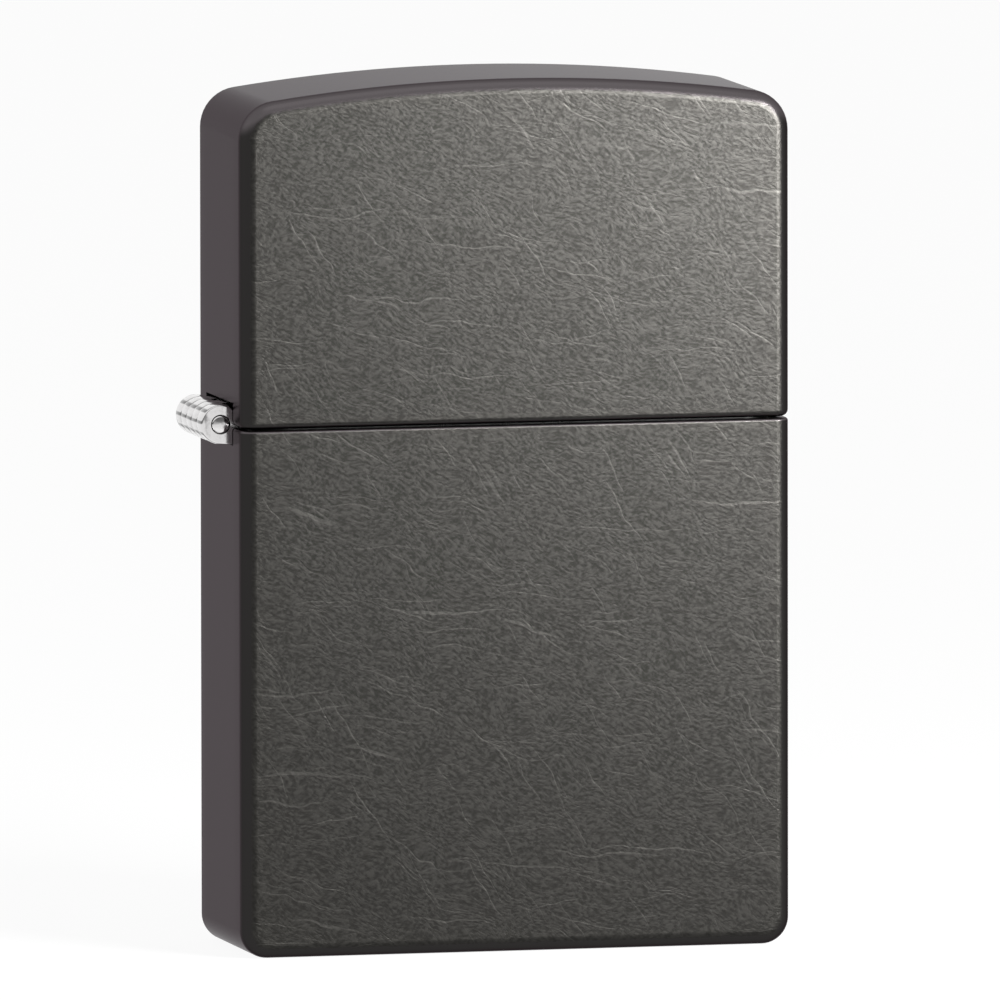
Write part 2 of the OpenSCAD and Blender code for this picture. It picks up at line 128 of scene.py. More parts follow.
class Finish:
    """A new material whose nodes are added one after another."""

    def __init__(self, name):
        self.material = bpy.data.materials.new(name)
        self.material.use_nodes = True
        self.tree = self.material.node_tree
        self.shader = self.tree.nodes["Principled BSDF"]
        self.place = self.node("ShaderNodeTexCoord").outputs["Object"]

    def node(self, kind, **settings):
        made = self.tree.nodes.new(kind)
        for key, value in settings.items():
            setattr(made, key, value)
        return made

    def wire(self, value, socket):
        if isinstance(value, bpy.types.NodeSocket):
            self.tree.links.new(value, socket)
        else:
            socket.default_value = value

    def math(self, operation, *values, clamp=False):
        made = self.node("ShaderNodeMath", operation=operation, use_clamp=clamp)
        for value, socket in zip(values, made.inputs):
            self.wire(value, socket)
        return made.outputs[0]

    def mapping(self, scale=(1, 1, 1), turn=(0, 0, 0), place=None, location=(0, 0, 0)):
        made = self.node("ShaderNodeMapping", vector_type="TEXTURE")
        self.wire(place or self.place, made.inputs["Vector"])
        made.inputs["Location"].default_value = location
        made.inputs["Rotation"].default_value = [math.radians(a) for a in turn]
        made.inputs["Scale"].default_value = [1 / s for s in scale]
        return made.outputs[0]

    def noise(self, place, scale, detail=2.0, rough=0.5, kind="FBM"):
        made = self.node("ShaderNodeTexNoise", noise_type=kind)
        self.wire(place, made.inputs["Vector"])
        made.inputs["Scale"].default_value = scale
        made.inputs["Detail"].default_value = detail
        made.inputs["Roughness"].default_value = rough
        return made.outputs[0]

    def ramp(self, value, low, high, to_low=0.0, to_high=1.0, smooth=True):
        made = self.node("ShaderNodeMapRange", interpolation_type="SMOOTHSTEP" if smooth else "LINEAR")
        self.wire(value, made.inputs["Value"])
        for key, number in (("From Min", low), ("From Max", high), ("To Min", to_low), ("To Max", to_high)):
            made.inputs[key].default_value = number
        return made.outputs[0]

    def mix(self, share, a, b):
        made = self.node("ShaderNodeMix", data_type="RGBA")
        for value, socket in ((share, made.inputs[0]), (a, made.inputs[6]), (b, made.inputs[7])):
            self.wire(with_alpha(value), socket)
        return made.outputs[2]

    def bump(self, height, strength, depth):
        made = self.node("ShaderNodeBump")
        made.inputs["Strength"].default_value = strength
        made.inputs["Distance"].default_value = depth
        self.wire(height, made.inputs["Height"])
        self.wire(made.outputs[0], self.shader.inputs["Normal"])

    def set(self, **values):
        for key, value in values.items():
            self.wire(with_alpha(value), self.shader.inputs[key.replace("_", " ")])
        return self.material


def shaded(shade, amount):
    """The colour, made lighter or darker by a factor."""
    return tuple(min(1.0, c * amount) for c in shade)


# ---- finishes -------------------------------------------------------------------------------

def grained_plating():
    """Dark plating: worm-like grain and fine scratches on the broad faces, smooth elsewhere. The rounded
    edges carry a painted dark reflection, with a painted highlight where they face upward.
    """
    shades = bpy.context.scene.lighter_colours
    f = Finish("grained_plating")
    normal = f.node("ShaderNodeSeparateXYZ")
    f.wire(f.node("ShaderNodeNewGeometry").outputs["Normal"], normal.inputs[0])
    facing = f.math("ABSOLUTE", normal.outputs["Y"])
    ragged = f.math("MULTIPLY_ADD", f.noise(f.place, 2600, 2.0), 0.10, facing)
    broad = f.ramp(ragged, 0.94, 1.03)
    narrow = f.ramp(facing, 0.45, 0.02)
    # Painted highlight: rounded edges facing upward are painted lighter, as where they would catch light
    # from above.
    upward_painted_highlight = f.ramp(normal.outputs["Z"], 0.10, 0.42)
    warp = f.node("ShaderNodeVectorMath", operation="MULTIPLY_ADD")
    drift = f.node("ShaderNodeTexNoise")
    f.wire(f.place, drift.inputs["Vector"])
    drift.inputs["Scale"].default_value = 300
    f.wire(drift.outputs["Color"], warp.inputs[0])
    warp.inputs[1].default_value = (1.6 * MM, 0, 1.6 * MM)
    f.wire(f.place, warp.inputs[2])
    wandering = warp.outputs[0]
    worms = f.noise(f.mapping((0.45, 1, 1), (0, 24, 0), wandering), 6200, 1.5, 0.5)
    crossing = f.noise(f.mapping((0.5, 1, 1), (0, -35, 0), wandering), 5600, 1.5, 0.5)
    grain = f.ramp(f.math("MULTIPLY_ADD", crossing, 0.45, f.math("MULTIPLY", worms, 0.55)), 0.34, 0.66)
    scratches = None
    lays = ((16, 120, 6400), (-7, 150, 7200), (33, 170, 6800), (58, 210, 7000), (4, 100, 6000))
    for turn, run, across in lays:
        strand = f.noise(f.mapping((run, run, across), (0, turn, 0), wandering), 1.0, 0.0)
        strand = f.ramp(strand, 0.73, 0.86)
        scratches = strand if scratches is None else f.math("MAXIMUM", scratches, strand)
    shade = f.mix(grain, shaded(shades.face, 0.74), shaded(shades.face, 1.24))
    shade = f.mix(f.math("MULTIPLY", scratches, 0.34), shade, shaded(shades.face, 2.6))
    # Painted reflection: the rounded edges are painted dark, and lighter (a painted highlight) where they
    # face upward.
    edge = f.mix(upward_painted_highlight, shades.edge, shaded(shades.side, 1.25))
    smooth = f.mix(narrow, edge, shades.side)
    shaped = f.mix(broad, smooth, shade)
    rough = f.math("MULTIPLY_ADD", broad, 0.10, 0.26)
    height = f.math("MULTIPLY", f.math("SUBTRACT", grain, f.math("MULTIPLY", scratches, 0.5)), broad)
    f.bump(height, 0.5, 0.010 * MM)
    return f.set(Base_Color=shaped, Metallic=1.0, Roughness=rough, Specular_Tint=(0.45, 0.43, 0.44))


def polished_chrome():
    shades = bpy.context.scene.lighter_colours
    f = Finish("polished_chrome")
    haze = f.noise(f.mapping((1, 0.25, 1)), 2600, 3.0, 0.6)
    f.bump(haze, 0.12, 0.004 * MM)
    tint = f.mix(f.ramp(haze, 0.3, 0.75, 0.0, 0.35), shades.chrome, shaded(shades.chrome, 0.72))
    # Painted reflection: dark bands painted round the polished hinge by the way its surface faces, standing
    # in for mirrored surroundings.
    normal = f.node("ShaderNodeSeparateXYZ")
    f.wire(f.node("ShaderNodeNewGeometry").outputs["Normal"], normal.inputs[0])
    painted_reflection_bands = f.math("SINE", f.math("MULTIPLY_ADD", normal.outputs["Z"], 11.0, f.math("MULTIPLY", haze, 0.8)))
    tint = f.mix(f.ramp(painted_reflection_bands, 0.35, 0.95), tint, shaded(shades.chrome, 0.16))
    return f.set(Base_Color=tint, Metallic=1.0, Roughness=f.ramp(haze, 0.3, 0.75, 0.07, 0.16))


def drawn_steel(name, shade, rough, drawn_along=(1, 1, 0.05), painted_seam_shade_z=None):
    """Sheet or bar steel with fine drawing lines, a few handling marks and a nearly black band of painted
    shade at a height.
    """
    f = Finish(name)
    lines = f.noise(f.mapping(drawn_along), 5200, 3.0, 0.6)
    marks = f.noise(f.place, 240, 5.0, 0.65)
    tint = f.mix(f.ramp(lines, 0.3, 0.72), shaded(shade, 0.78), shaded(shade, 1.16))
    tint = f.mix(f.ramp(marks, 0.5, 0.75, 0.0, 0.35), tint, shaded(shade, 0.6))
    # Painted shade: a nearly black band at the given height stands in for shadow, such as the dark gap
    # where the lid meets the body.
    if painted_seam_shade_z is not None:
        height = f.node("ShaderNodeSeparateXYZ")
        f.wire(f.place, height.inputs[0])
        away = f.math("ABSOLUTE", f.math("SUBTRACT", height.outputs["Z"], painted_seam_shade_z))
        tint = f.mix(f.ramp(away, 0.25 * MM, 0.6 * MM, 1.0, 0.0), tint, shaded(shade, 0.03))
    f.bump(lines, 0.25, 0.006 * MM)
    return f.set(Base_Color=tint, Metallic=1.0, Roughness=f.ramp(marks, 0.3, 0.75, rough, rough + 0.14))


def turned_brass():
    shades = bpy.context.scene.lighter_colours
    f = Finish("turned_brass")
    rings = f.noise(f.mapping((0.06, 0.06, 1)), 5200, 2.0, 0.6)
    tarnish = f.noise(f.place, 300, 4.0, 0.6)
    tint = f.mix(f.ramp(rings, 0.3, 0.7), shaded(shades.brass, 0.82), shaded(shades.brass, 1.15))
    tint = f.mix(f.ramp(tarnish, 0.45, 0.8, 0.0, 0.5), tint, (0.30, 0.19, 0.08))
    f.bump(rings, 0.2, 0.006 * MM)
    return f.set(Base_Color=tint, Metallic=1.0, Roughness=f.ramp(tarnish, 0.3, 0.8, 0.22, 0.42))


def flint_alloy():
    shades = bpy.context.scene.lighter_colours
    f = Finish("flint_alloy")
    grains = f.noise(f.place, 3400, 4.0, 0.7)
    tint = f.mix(f.ramp(grains, 0.3, 0.7), shaded(shades.flint, 0.6), shaded(shades.flint, 1.4))
    f.bump(grains, 0.5, 0.02 * MM)
    return f.set(Base_Color=tint, Metallic=0.7, Roughness=0.62)


def soft_fibre(name, shade, scale, sheen, stretch=(1, 1, 1)):
    """Cotton or felt: tangled fibres, matt, with a pale sheen."""
    f = Finish(name)
    strands = f.noise(f.mapping(stretch), scale, 6.0, 0.75, "RIDGED_MULTIFRACTAL")
    clumps = f.noise(f.place, scale * 0.2, 3.0, 0.6)
    tint = f.mix(f.ramp(strands, 0.3, 1.3), shaded(shade, 0.72), shaded(shade, 1.08))
    tint = f.mix(f.ramp(clumps, 0.3, 0.75, 0.0, 0.3), tint, shaded(shade, 0.8))
    f.bump(strands, 0.6, 0.05 * MM)
    f.shader.inputs["Sheen Weight"].default_value = sheen
    f.shader.inputs["Sheen Roughness"].default_value = 0.5
    return f.set(Base_Color=tint, Roughness=0.95)


# ---- mesh helpers ---------------------------------------------------------------------------

def make_piece(name, bm, material, smooth_angle=35):
    """Turns a bmesh into a finished object at the origin, smooth but for its sharp edges."""
    mesh = bpy.data.meshes.new(name)
    bm.to_mesh(mesh)
    bm.free()
    mesh.shade_smooth()
    mesh.set_sharp_from_angle(angle=math.radians(smooth_angle))
    mesh.materials.append(material)
    piece = bpy.data.objects.new(name, mesh)
    bpy.context.scene.collection.objects.link(piece)
    even = piece.modifiers.new("even_shading", "WEIGHTED_NORMAL")
    even.keep_sharp = True
    even.weight = 100
    return piece


def stands_for(piece, node, body):
    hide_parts(node)
    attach(piece, body)
    return piece


def repaint(material, *nodes):
    for node in nodes:
        mesh_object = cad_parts[node]
        mesh_object.data.materials.clear()
        mesh_object.data.materials.append(material)


def arc(bm, vert, centre, degrees, steps):
    """Carries a vertex round a centre in the plane of the broad faces and returns the last one."""
    spun = bmesh.ops.spin(
        bm, geom=[vert], cent=(centre[0], vert.co.y, centre[1]), axis=(0, 1, 0),
        angle=math.radians(degrees), steps=steps, dvec=(0, 0, 0), use_merge=False,
    )
    return next(g for g in spun["geom_last"] if isinstance(g, bmesh.types.BMVert))


def line(bm, vert, x, z):
    end = bm.verts.new((x, vert.co.y, z))
    bm.edges.new((vert, end))
    return end


def slab(bm, first, last, depth, seam_z):
    """Closes an outline, carries it back by depth and takes off the face at the seam."""
    bm.edges.new((last, first))
    face = bmesh.ops.contextual_create(bm, geom=bm.edges[:])["faces"][0]
    moved = bmesh.ops.extrude_face_region(bm, geom=[face])
    verts = [g for g in moved["geom"] if isinstance(g, bmesh.types.BMVert)]
    bmesh.ops.translate(bm, verts=verts, vec=(0, depth, 0))
    bmesh.ops.recalc_face_normals(bm, faces=bm.faces[:])
    seam = [f for f in bm.faces if all(abs(v.co.z - seam_z) < MERGE for v in f.verts)]
    bmesh.ops.delete(bm, geom=seam, context="FACES")


def round_long_edges(bm, y_faces, radius):
    edges = [
        e for e in bm.edges
        if not e.is_boundary and any(all(abs(v.co.y - y) < MERGE for v in e.verts) for y in y_faces)
    ]
    bmesh.ops.bevel(
        bm, geom=edges, offset=radius, offset_type="OFFSET", segments=7, profile=0.5,
        affect="EDGES", clamp_overlap=False, material=-1,
    )


def cut_barrel_notch(bm, seam_z, rises):
    """Opens the hinge side for the barrel, up or down from the seam."""
    sizes = bpy.context.scene.lighter_sizes
    half = BARREL_L / 2 + sizes.notch_gap
    reach = BARREL_R + sizes.notch_gap
    end_z = HINGE.z + reach if rises else HINGE.z - reach

    def side_faces():
        return [
            f for f in bm.faces
            if f.normal.x < -0.999 and abs(f.calc_center_median().x - BODY_LO.x) < MERGE
        ]

    def slice_side(faces, point, normal):
        geom = set(faces)
        for f in faces:
            geom.update(f.edges)
            geom.update(f.verts)
        bmesh.ops.bisect_plane(bm, geom=list(geom), dist=MERGE, plane_co=point, plane_no=normal)

    slice_side(side_faces(), (0, half, 0), (0, 1, 0))
    slice_side(side_faces(), (0, -half, 0), (0, 1, 0))
    middle = [f for f in side_faces() if abs(f.calc_center_bounds().y) < half]
    slice_side(middle, (0, 0, end_z), (0, 0, 1))
    low, high = sorted((seam_z, end_z))
    gone = [
        f for f in side_faces()
        if abs(f.calc_center_bounds().y) < half and low < f.calc_center_bounds().z < high
    ]
    bmesh.ops.delete(bm, geom=gone, context="FACES")


def thicken(bm, thickness):
    """Gives the open skin its inner wall."""
    bmesh.ops.recalc_face_normals(bm, faces=bm.faces[:])
    bmesh.ops.solidify(bm, geom=bm.faces[:], thickness=thickness)


def round_lip(bm, seam_z, radius, segments):
    """Rounds the outer edge of the rim at the seam."""
    sizes = bpy.context.scene.lighter_sizes
    inner_x = BODY_HI.x - sizes.sheet / 2
    inner_y = BODY_HI.y - sizes.sheet / 2

    def outside(v):
        past_x = max(0, abs(v.co.x) - (BODY_HI.x - sizes.edge_r))
        past_y = max(0, abs(v.co.y) - (BODY_HI.y - sizes.edge_r))
        straight = abs(v.co.x) > inner_x or abs(v.co.y) > inner_y
        return straight or Vector((past_x, past_y)).length > sizes.edge_r - sizes.sheet / 2

    edges = [
        e for e in bm.edges
        if all(abs(v.co.z - seam_z) < MERGE and outside(v) for v in e.verts)
        and len(e.link_faces) == 2 and abs(e.calc_face_angle(0)) > 0.8
    ]
    bmesh.ops.bevel(
        bm, geom=edges, offset=radius, offset_type="OFFSET", segments=segments, profile=0.5,
        affect="EDGES", clamp_overlap=True, material=-1,
    )


def lathe(bm, profile, centre, steps, closed=True):
    """Turns a list of (radius, place along the axis) about an axis along Y through centre."""
    verts = [bm.verts.new((centre.x + r, centre.y + y, centre.z)) for r, y in profile]
    edges = [bm.edges.new(pair) for pair in zip(verts, verts[1:])]
    if closed:
        edges.append(bm.edges.new((verts[-1], verts[0])))
    bmesh.ops.spin(
        bm, geom=verts + edges, cent=centre, axis=(0, 1, 0), angle=2 * math.pi, steps=steps,
        dvec=(0, 0, 0), use_merge=True,
    )
    bmesh.ops.remove_doubles(bm, verts=bm.verts[:], dist=MERGE)
    bmesh.ops.recalc_face_normals(bm, faces=bm.faces[:])


def dome_profile(radius, base_y, rise, steps=8):
    """A quarter of an ellipse from the rim to the axis."""
    return [
        (radius * math.cos(a), base_y + rise * math.sin(a))
        for a in (math.radians(90) * i / steps for i in range(steps + 1))
    ]


def merged_copy(node):
    """A CAD node's mesh as one closed skin with whole flat faces."""
    bm = bmesh.new()
    bm.from_mesh(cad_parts[node].data)
    bmesh.ops.remove_doubles(bm, verts=bm.verts[:], dist=MERGE)
    bmesh.ops.dissolve_limit(
        bm, angle_limit=math.radians(0.5), use_dissolve_boundaries=False,
        verts=bm.verts[:], edges=bm.edges[:],
    )
    return bm


# ---- pieces ---------------------------------------------------------------------------------

class LIGHTER_OT_body_shell(bpy.types.Operator):
    """Draw the body: a deep shell with rounded corners, a pan in its base and a notch for the hinge"""
    bl_idname = "lighter.body_shell"
    bl_label = "Body Shell"

    def execute(self, context):
        s = context.scene.lighter_sizes
        r = s.base_corner_r
        x0, x1, z0, seam = BODY_LO.x, BODY_HI.x, BODY_LO.z, BODY_HI.z
        bm = bmesh.new()
        first = bm.verts.new((x0, BODY_LO.y, seam))
        at = line(bm, first, x0, z0 + r)
        at = arc(bm, at, (x0 + r, z0 + r), -90, 12)
        at = line(bm, at, x1 - r, z0)
        at = arc(bm, at, (x1 - r, z0 + r), -90, 12)
        at = line(bm, at, x1, seam)
        slab(bm, first, at, BODY_HI.y - BODY_LO.y, seam)
        round_long_edges(bm, (BODY_LO.y, BODY_HI.y), s.edge_r)
        bottom = [max((f for f in bm.faces if f.normal.z < -0.999), key=lambda f: f.calc_area())]
        bmesh.ops.inset_region(bm, faces=bottom, thickness=s.pan_rim, depth=0, use_even_offset=True)
        bmesh.ops.inset_region(
            bm, faces=bottom, thickness=0.35 * MM, depth=-s.pan_depth, use_even_offset=True
        )
        cut_barrel_notch(bm, seam, False)
        thicken(bm, s.sheet)
        round_lip(bm, seam, s.body_lip_r, 3)
        piece = make_piece("body_shell_plated", bm, grained_plating())
        stands_for(piece, "body_shell", "body")
        return {"FINISHED"}


class LIGHTER_OT_lid_shell(bpy.types.Operator):
    """Draw the lid: an arched shell with rounded corners and a soft lower edge"""
    bl_idname = "lighter.lid_shell"
    bl_label = "Lid Shell"

    def execute(self, context):
        s = context.scene.lighter_sizes
        r, big = s.top_corner_r, s.arch_r
        x0, x1, seam, top = LID_LO.x, LID_HI.x, LID_LO.z, LID_HI.z
        corner_x = x1 - r
        corner_z = top - big + math.sqrt((big - r) ** 2 - corner_x ** 2)
        half = math.degrees(math.asin(corner_x / (big - r)))
        bm = bmesh.new()
        first = bm.verts.new((x0, LID_LO.y, seam))
        at = line(bm, first, x0, corner_z)
        at = arc(bm, at, (-corner_x, corner_z), 90 - half, 10)
        at = arc(bm, at, (0, top - big), 2 * half, 24)
        at = arc(bm, at, (corner_x, corner_z), 90 - half, 10)
        at = line(bm, at, x1, seam)
        slab(bm, first, at, LID_HI.y - LID_LO.y, seam)
        round_long_edges(bm, (LID_LO.y, LID_HI.y), s.edge_r)
        cut_barrel_notch(bm, seam, True)
        thicken(bm, s.sheet)
        round_lip(bm, seam, s.lid_lip_r, 4)
        piece = make_piece("lid_shell_plated", bm, grained_plating())
        stands_for(piece, "lid_shell", "lid")
        return {"FINISHED"}


class LIGHTER_OT_hinge(bpy.types.Operator):
    """Make the two hinge leaves with rounded knuckles, and the domed pin"""
    bl_idname = "lighter.hinge"
    bl_label = "Hinge"

    def execute(self, context):
        s = context.scene.lighter_sizes
        chrome = polished_chrome()
        for node, body in (("lower_hinge_leaf", "body"), ("upper_hinge_leaf", "lid")):
            bm = merged_copy(node)

            def on_barrel(v):
                away = math.hypot(v.co.x - HINGE.x, v.co.z - HINGE.z)
                return abs(away - BARREL_R) < 0.02 * MM

            ends = [
                e for e in bm.edges
                if all(on_barrel(v) for v in e.verts)
                and abs(e.verts[0].co.y - e.verts[1].co.y) < MERGE and e.calc_face_angle(0) > 1.0
            ]
            bmesh.ops.bevel(
                bm, geom=ends, offset=s.knuckle_round, offset_type="OFFSET", segments=4, profile=0.5,
                affect="EDGES", clamp_overlap=True, material=-1,
            )
            piece = make_piece(node + "_polished", bm, chrome)
            stands_for(piece, node, body)
        bm = bmesh.new()
        half = BARREL_L / 2
        cap = 0.12 * MM
        end = [(s.pin_r - cap + r, y) for r, y in dome_profile(cap, half - cap, cap, 4)]
        profile = [(0, -half), *[(r, -y) for r, y in reversed(end)], *end, (0, half)]
        lathe(bm, profile, HINGE, 40, closed=False)
        stands_for(make_piece("hinge_pin_polished", bm, chrome), "hinge_pin", "body")
        return {"FINISHED"}


class LIGHTER_OT_spark_wheel(bpy.types.Operator):
    """Turn the spark wheel and cut its crossed teeth"""
    bl_idname = "lighter.spark_wheel"
    bl_label = "Spark Wheel"

    def execute(self, context):
        s = context.scene.lighter_sizes
        radius = (WHEEL_HI.z - WHEEL_LO.z) / 2
        hub_half = (WHEEL_HI.y - WHEEL_LO.y) / 2
        half = hub_half - 0.44 * MM
        bore, hub_r, edge, rows = 1.05 * MM, 1.9 * MM, 0.35 * MM, 22
        groove = 0.25 * MM
        tread = [(radius, -half + edge + (2 * (half - edge)) * i / rows) for i in range(rows + 1)]
        side = [
            (bore, hub_half), (hub_r - 0.1 * MM, hub_half), (hub_r, hub_half - 0.1 * MM), (hub_r, half),
            (hub_r + 0.3 * MM, half - groove), (radius - 1.1 * MM, half - groove),
            (radius - 0.8 * MM, half), (radius - edge, half),
        ]
        bm = bmesh.new()
        profile = [(r, -y) for r, y in side] + tread + list(reversed(side))
        lathe(bm, profile, AXLE, s.teeth * 4)
        twist = 2.2 / (2 * half)
        for v in bm.verts:
            dx, dy, dz = v.co - AXLE
            away = math.hypot(dx, dz)
            if away < radius - edge / 2:
                continue
            turn = math.atan2(dz, dx) / (2 * math.pi) * s.teeth
            cuts = [abs(((turn + sign * dy * twist * 2) % 1) * 2 - 1) for sign in (1, -1)]
            depth = s.tooth_h * max(0.0, 1 - min(cuts) * 1.5)
            v.co.x -= dx / away * depth
            v.co.z -= dz / away * depth
        steel = drawn_steel("wheel_steel", context.scene.lighter_colours.dark_steel, 0.34, (1, 1, 1))
        stands_for(make_piece("spark_wheel_cut", bm, steel, 28), "spark_wheel", "wheel")
        return {"FINISHED"}


class LIGHTER_OT_rivets(bpy.types.Operator):
    """Head the axle rivet and the cam rivet"""
    bl_idname = "lighter.rivets"
    bl_label = "Rivets"

    def execute(self, context):
        steel = drawn_steel("rivet_steel", context.scene.lighter_colours.steel, 0.2, (1, 0.1, 1))
        for node, low, high, shank_r, head_t in (
            ("wheel_rivet", RIVET_LO, RIVET_HI, 1.0 * MM, 0.6 * MM),
            ("cam_rivet", CAM_RIVET_LO, CAM_RIVET_HI, 0.75 * MM, 0.45 * MM),
        ):
            head_r = (high.z - low.z) / 2
            grip = (high.y - low.y) / 2 - head_t
            rim = head_t * 0.35
            head = [(shank_r, grip), (head_r, grip), (head_r, grip + rim)]
            head += dome_profile(head_r, grip + rim, head_t - rim)[1:]
            profile = [(r, -y) for r, y in reversed(head)] + head
            bm = bmesh.new()
            lathe(bm, profile, (low + high) / 2, 36, closed=False)
            stands_for(make_piece(node + "_headed", bm, steel), node, "body")
        return {"FINISHED"}


class LIGHTER_OT_wick(bpy.types.Operator):
    """Braid the wick and fray its tip"""
    bl_idname = "lighter.wick"
    bl_label = "Wick"

    def execute(self, context):
        radius = (WICK_HI.x - WICK_LO.x) / 2
        centre = (WICK_LO + WICK_HI) / 2
        height = WICK_HI.z - WICK_LO.z
        strands, pitch = 8, 4.2 * MM
        bm = bmesh.new()
        bmesh.ops.create_circle(bm, cap_ends=True, radius=radius * 0.97, segments=48)
        bmesh.ops.translate(bm, verts=bm.verts[:], vec=(centre.x, centre.y, WICK_LO.z))
        steps = 150
        ring = bm.faces[:]
        for _ in range(steps):
            moved = bmesh.ops.extrude_face_region(bm, geom=ring)
            verts = [g for g in moved["geom"] if isinstance(g, bmesh.types.BMVert)]
            bmesh.ops.delete(bm, geom=[f for f in ring if f.is_valid], context="FACES_ONLY")
            ring = [g for g in moved["geom"] if isinstance(g, bmesh.types.BMFace)]
            bmesh.ops.translate(bm, verts=verts, vec=(0, 0, height / steps))
        bmesh.ops.contextual_create(bm, geom=[e for e in bm.edges if e.is_boundary])
        bmesh.ops.recalc_face_normals(bm, faces=bm.faces[:])
        for v in bm.verts:
            out = Vector((v.co.x - centre.x, v.co.y - centre.y))
            turn = math.atan2(out.y, out.x) / (2 * math.pi) * strands / 2
            up = (v.co.z - WICK_LO.z) / pitch * strands / 2
            weave = max(abs(math.sin(math.pi * (turn + up))), abs(math.sin(math.pi * (turn - up))))
            fray = max(0.0, (v.co.z - WICK_HI.z) / (1.2 * MM) + 1)
            wild = noise.noise(Vector(v.co) * 2600) * fray
            scale = 1 - 0.10 * (1 - weave) - 0.16 * abs(wild)
            v.co.x = centre.x + out.x * scale
            v.co.y = centre.y + out.y * scale
            v.co.z -= abs(wild) * 0.6 * MM
        cotton = soft_fibre("wick_cotton", context.scene.lighter_colours.cotton, 2600, 0.3)
        stands_for(make_piece("wick_braided", bm, cotton, 60), "wick", "body")
        return {"FINISHED"}


class LIGHTER_OT_packing(bpy.types.Operator):
    """Shape the cotton packing and the felt pad"""
    bl_idname = "lighter.packing"
    bl_label = "Packing"

    def execute(self, context):
        shades = context.scene.lighter_colours
        cotton = soft_fibre("packing_cotton", shades.cotton, 1500, 0.4)
        felt = soft_fibre("felt", shades.felt, 2100, 0.25, (1, 1, 2.5))
        soft = [
            (f"cotton_pad_{i}", "loft", cotton, "packing_cotton", 0.9 * MM, 0.35 * MM, 0.9)
            for i in range(1, 5)
        ]
        soft.append(("felt_pad", "pressed", felt, "felt", 0.3 * MM, 0.06 * MM, 1.0))
        for node, word, material, slot, round_by, lumps, fill in soft:
            low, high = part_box(node)
            bm = merged_copy(node)
            rim = [
                e for e in bm.edges
                if e.calc_face_angle(0) > 1.0 and abs(e.verts[0].co.z - e.verts[1].co.z) < MERGE
                and all(min(abs(v.co.x - low.x), abs(v.co.x - high.x)) < 1.7 * MM
                        or min(abs(v.co.y - low.y), abs(v.co.y - high.y)) < MERGE for v in e.verts)
            ]
            bmesh.ops.bevel(
                bm, geom=rim, offset=round_by, offset_type="OFFSET", segments=4, profile=0.5,
                affect="EDGES", clamp_overlap=True, material=-1,
            )
            bmesh.ops.triangulate(bm, faces=[f for f in bm.faces if len(f.verts) > 4])
            for _ in range(4):
                long_edges = [e for e in bm.edges if e.calc_length() > 1.1 * MM]
                bmesh.ops.subdivide_edges(bm, edges=long_edges, cuts=1)
                bmesh.ops.triangulate(bm, faces=[f for f in bm.faces if len(f.verts) > 4])
            bm.normal_update()
            for v in bm.verts:
                dent = 0.5 + 0.5 * noise.noise(Vector(v.co) * 420)
                v.co -= v.normal * dent * lumps
            piece = make_piece(f"{node}_{word}", bm, material, 60)
            stands_for(piece, node, "body")
        return {"FINISHED"}


class LIGHTER_OT_metal_finishes(bpy.types.Operator):
    """Finish the insert, windscreen, cam, springs and flint parts"""
    bl_idname = "lighter.metal_finishes"
    bl_label = "Metal Finishes"

    def execute(self, context):
        shades = context.scene.lighter_colours
        # The insert carries a band of painted shade at the lid seam, where the gap between lid and body
        # lies in shadow.
        repaint(drawn_steel("insert_steel", shades.steel, 0.24, painted_seam_shade_z=LID_LO.z), "insert_tank")
        repaint(drawn_steel("screen_steel", shaded(shades.steel, 0.95), 0.22, (1, 1, 0.08)), "windscreen")
        cam_steel = drawn_steel("cam_steel", shaded(shades.steel, 0.85), 0.26, (0.2, 1, 1))
        repaint(cam_steel, "cam", "cam_spring", "cam_spring_rivet")
        repaint(drawn_steel("spring_steel", shaded(shades.steel, 1.1), 0.2, (1, 1, 1)), "flint_spring")
        repaint(turned_brass(), "flint_tube", "flint_follower", "flint_screw")
        repaint(flint_alloy(), "flint")
        return {"FINISHED"}


# ---- stage ----------------------------------------------------------------------------------

